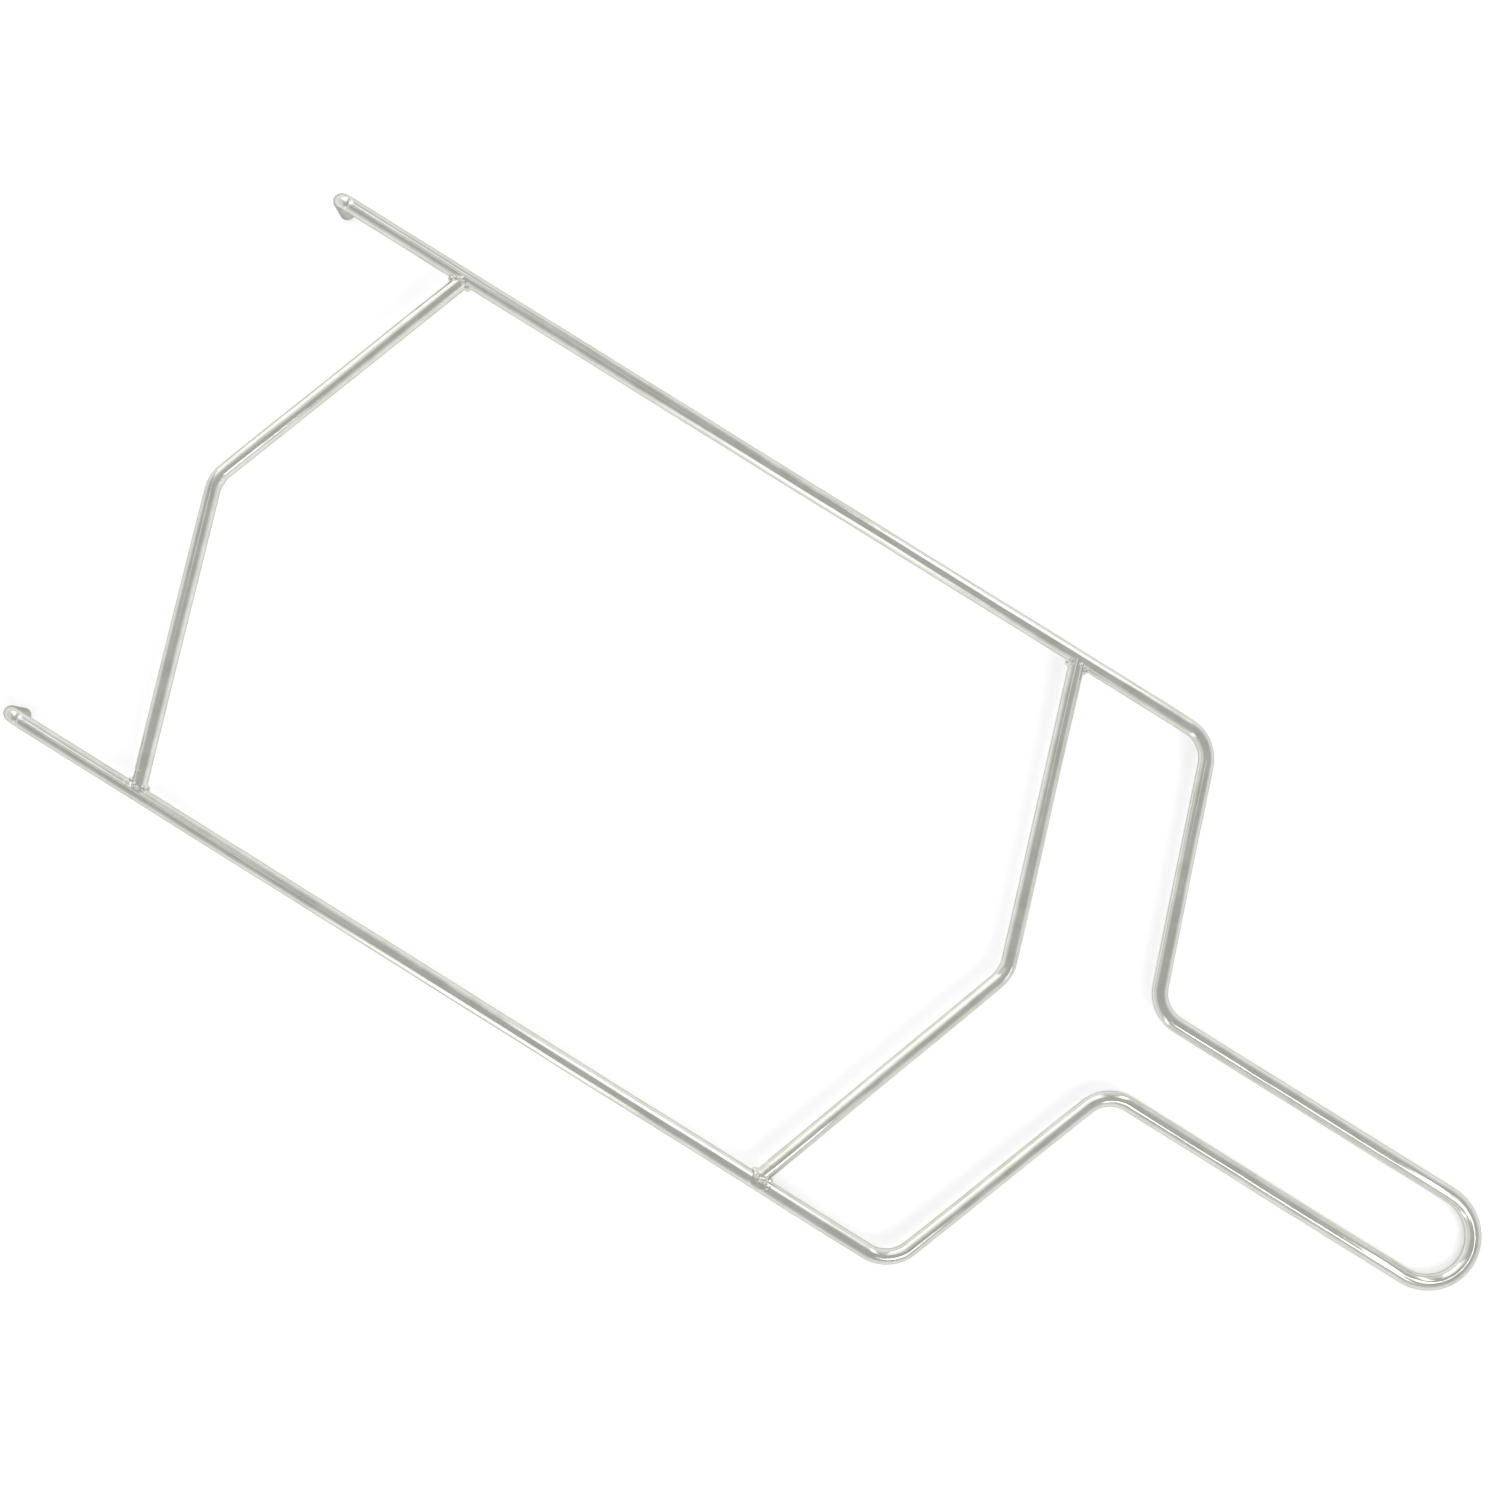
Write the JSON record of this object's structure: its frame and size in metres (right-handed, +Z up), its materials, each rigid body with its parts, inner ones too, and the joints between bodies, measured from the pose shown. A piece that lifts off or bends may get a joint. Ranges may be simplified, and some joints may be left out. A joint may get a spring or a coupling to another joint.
{
  "type": "test tube holder",
  "caption": "Flat bent-wire laboratory rack with V-bent cross wires welded between parallel rails, down-turned ends and a loop handle.",
  "frame": {"origin": "centre of the bounding box, at the height of the two cut wire ends", "axes": "+X along the rails towards the handle, +Y across the rails towards the right-hand rail, +Z up, so the down-turned ends point to -Z"},
  "size_m": [0.3829, 0.157, 0.0149],
  "materials": {
    "plated_wire": "bright plated steel wire with fine drawing lines",
    "weld_metal": "plated weld bead, slightly rough"
  },
  "bodies": {
    "root": {"frame_wire": "plated_wire", "far_cross_wire": "plated_wire", "near_cross_wire": "plated_wire", "weld_far_left": "weld_metal", "weld_far_right": "weld_metal", "weld_near_left": "weld_metal", "weld_near_right": "weld_metal"}
  },
  "joints": []
}
